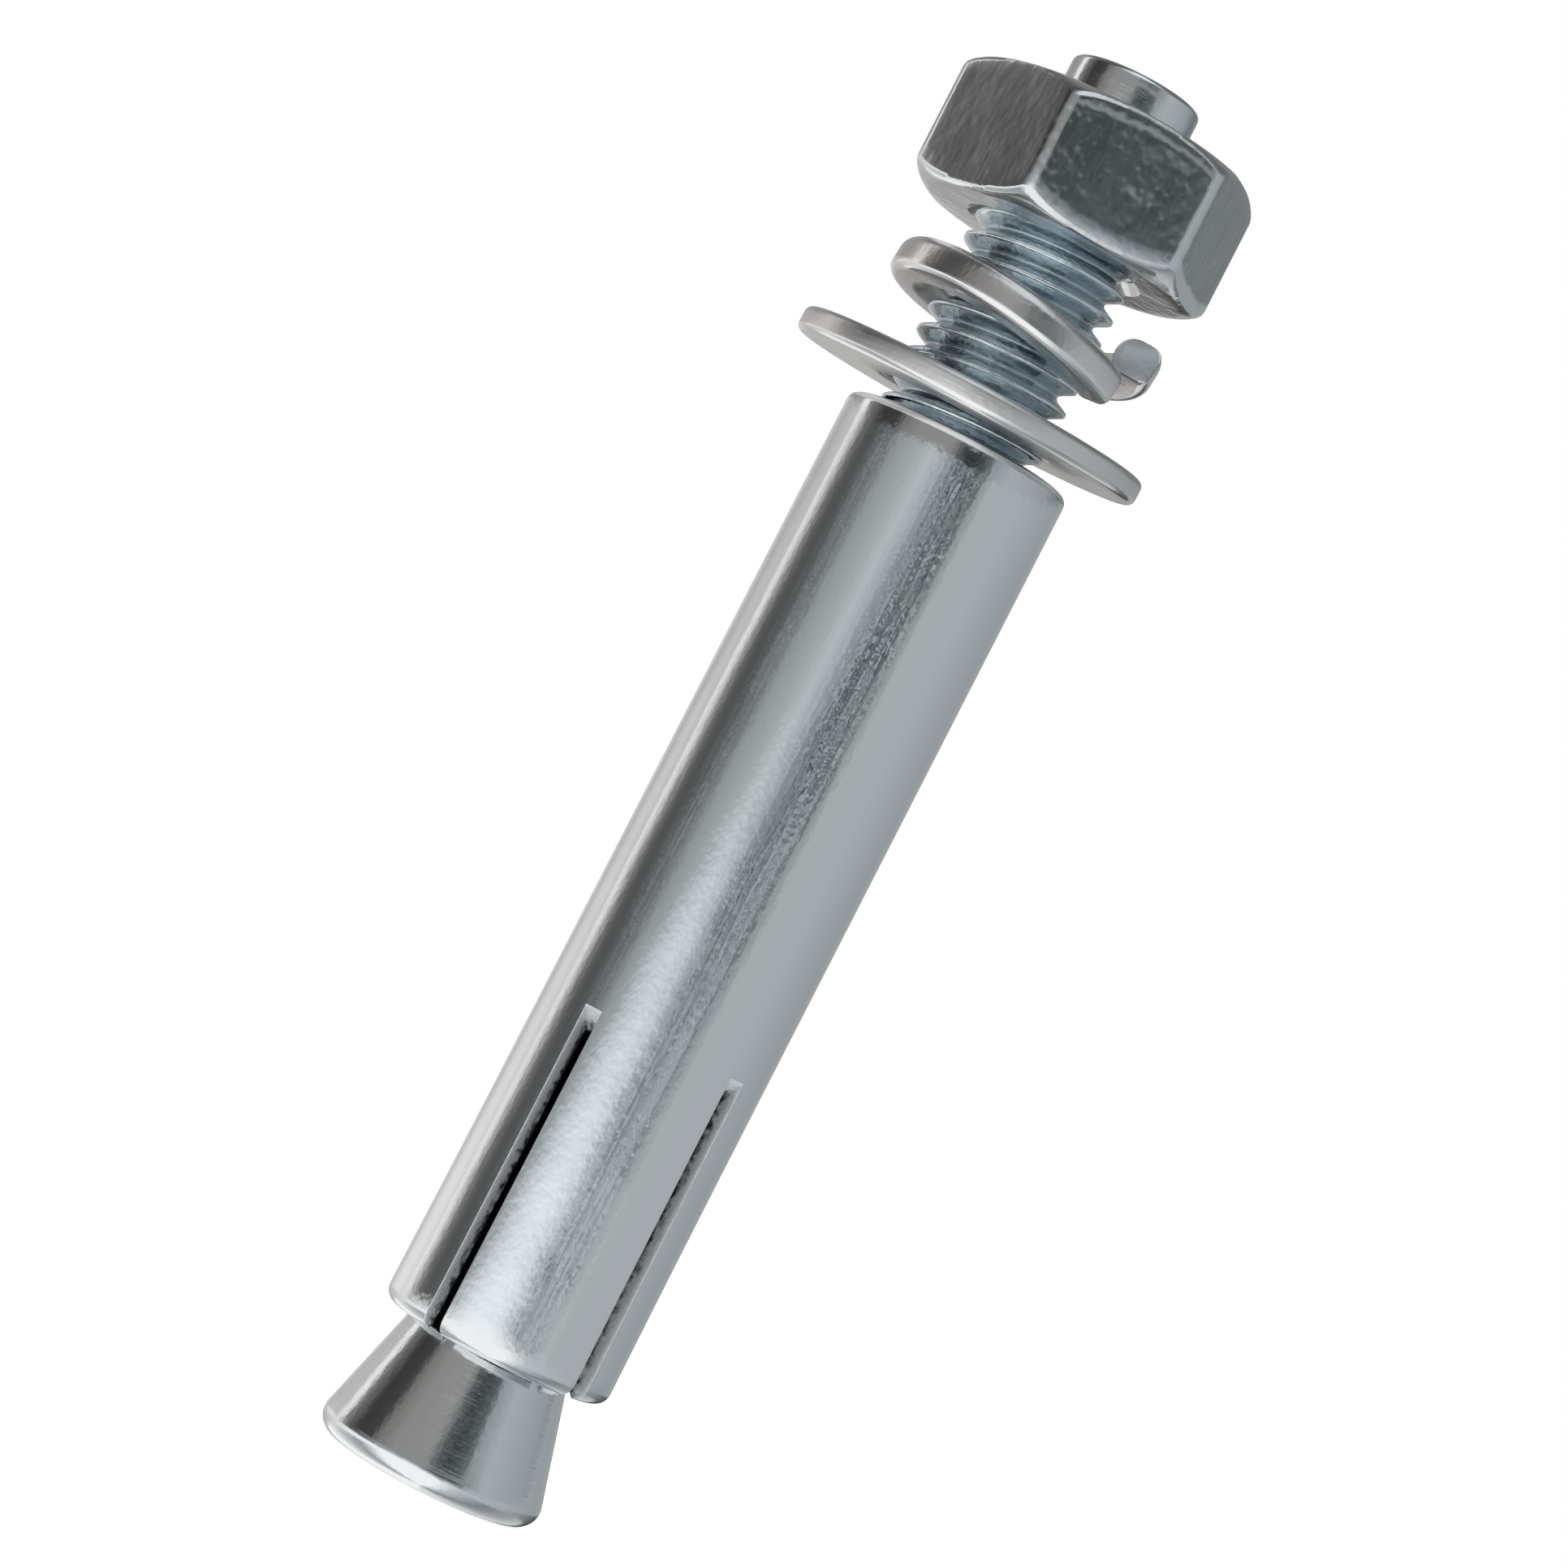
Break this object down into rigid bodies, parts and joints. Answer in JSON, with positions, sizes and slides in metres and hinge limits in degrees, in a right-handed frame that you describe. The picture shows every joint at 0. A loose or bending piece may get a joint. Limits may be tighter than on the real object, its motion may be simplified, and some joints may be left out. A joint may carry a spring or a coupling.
{
  "type": "sleeve anchor",
  "caption": "Zinc plated sleeve anchor: a cone-ended threaded bolt in a slotted expansion sleeve, with a plain washer, a spring lock washer and a hexagon nut.",
  "frame": {"origin": "centre of the flat end face of the cone, which the anchor stands on", "axes": "+Z along the bolt from the cone end to the nut end; -Y faces the viewer of the picture; +X to the viewer's right"},
  "size_m": [0.022, 0.022, 0.09],
  "materials": {
    "bolt": "bright zinc plated, rolled thread",
    "sleeve": "bright zinc plated, drawn tube",
    "flat_washer": "bright zinc plated, punched and tumbled",
    "spring_washer": "bright zinc plated, coiled from rounded bar",
    "nut": "bright zinc plated, cold formed"
  },
  "bodies": {
    "sleeve": {"expansion_sleeve": "sleeve"},
    "bolt": {"cone_bolt": "bolt"},
    "nut": {"hex_nut": "nut"},
    "plain_washer": {"flat_washer": "flat_washer"},
    "lock_washer": {"spring_washer": "spring_washer"}
  },
  "joints": [
    {"name": "nut_turn", "type": "hinge", "parent": "sleeve", "child": "nut", "pos_m": [0, 0, 0.08328], "axis": [0, 0, 1], "range_deg": [-436, 652]},
    {"name": "bolt_draw", "type": "slide", "parent": "sleeve", "child": "bolt", "axis": [0, 0, 1], "range_m": [-0.0027, 0.0018]},
    {"name": "plain_washer_slide", "type": "slide", "parent": "sleeve", "child": "plain_washer", "axis": [0, 0, 1], "range_m": [-0.001, 0.0008]},
    {"name": "lock_washer_slide", "type": "slide", "parent": "sleeve", "child": "lock_washer", "axis": [0, 0, 1], "range_m": [-0.0013, 0.0021]}
  ],
  "couplings": [
    {"joint": "nut_turn", "follows": "bolt_draw", "rad_per_m": -4188.8}
  ]
}
